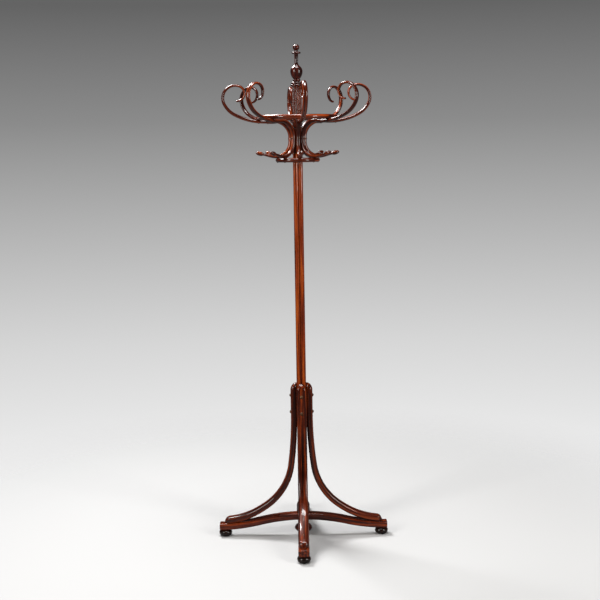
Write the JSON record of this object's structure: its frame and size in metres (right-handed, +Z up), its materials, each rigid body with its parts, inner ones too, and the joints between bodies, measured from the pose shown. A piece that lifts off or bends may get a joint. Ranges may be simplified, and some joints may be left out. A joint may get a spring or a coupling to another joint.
{
  "type": "hat and coat stand",
  "caption": "Standing bentwood hat and coat stand: bent legs and arched cross bars carry a slim pole with a revolving head of scrolled arms tied by two rings, under a turned finial.",
  "frame": {"origin": "on the floor, under the axis of the pole", "axes": "+Z up the pole, the front leg points along -Y and the right leg along +X"},
  "size_m": [0.708, 0.708, 2.0193],
  "materials": {
    "polished_beech": "bent beech, mahogany stain under a high-gloss French polish",
    "turned_beech": "turned beech, darker mahogany stain under a high-gloss French polish",
    "screw_steel": "blackened steel, domed and slotted",
    "spindle_steel": "bright drawn steel",
    "bearing_brass": "turned brass"
  },
  "bodies": {
    "base": {"pole": "polished_beech", "cross_bar_side": "polished_beech", "cross_bar_front_rear": "polished_beech", "leg_front": "polished_beech", "leg_right": "polished_beech", "leg_rear": "polished_beech", "leg_left": "polished_beech", "foot_front": "turned_beech", "foot_right": "turned_beech", "foot_rear": "turned_beech", "foot_left": "turned_beech", "base_pendant": "turned_beech", "tie_stud": "spindle_steel", "leg_pole_screws": "screw_steel", "leg_toe_screws": "screw_steel", "head_spindle": "spindle_steel", "thrust_washer": "bearing_brass"},
    "head": {"hub": "polished_beech", "hub_bush": "bearing_brass", "capital": "turned_beech", "finial": "turned_beech", "scroll_arm_1": "polished_beech", "scroll_arm_2": "polished_beech", "scroll_arm_3": "polished_beech", "scroll_arm_4": "polished_beech", "scroll_arm_5": "polished_beech", "scroll_arm_6": "polished_beech", "scroll_arm_7": "polished_beech", "scroll_arm_8": "polished_beech", "hat_ring": "polished_beech", "tie_ring": "polished_beech", "arm_hub_screws": "screw_steel", "hat_ring_screws": "screw_steel", "tie_ring_screws": "screw_steel"}
  },
  "joints": [
    {"name": "head_turn", "type": "hinge", "parent": "base", "child": "head", "pos_m": [0, 0, 1.59], "axis": [0, 0, 1], "continuous": true}
  ]
}
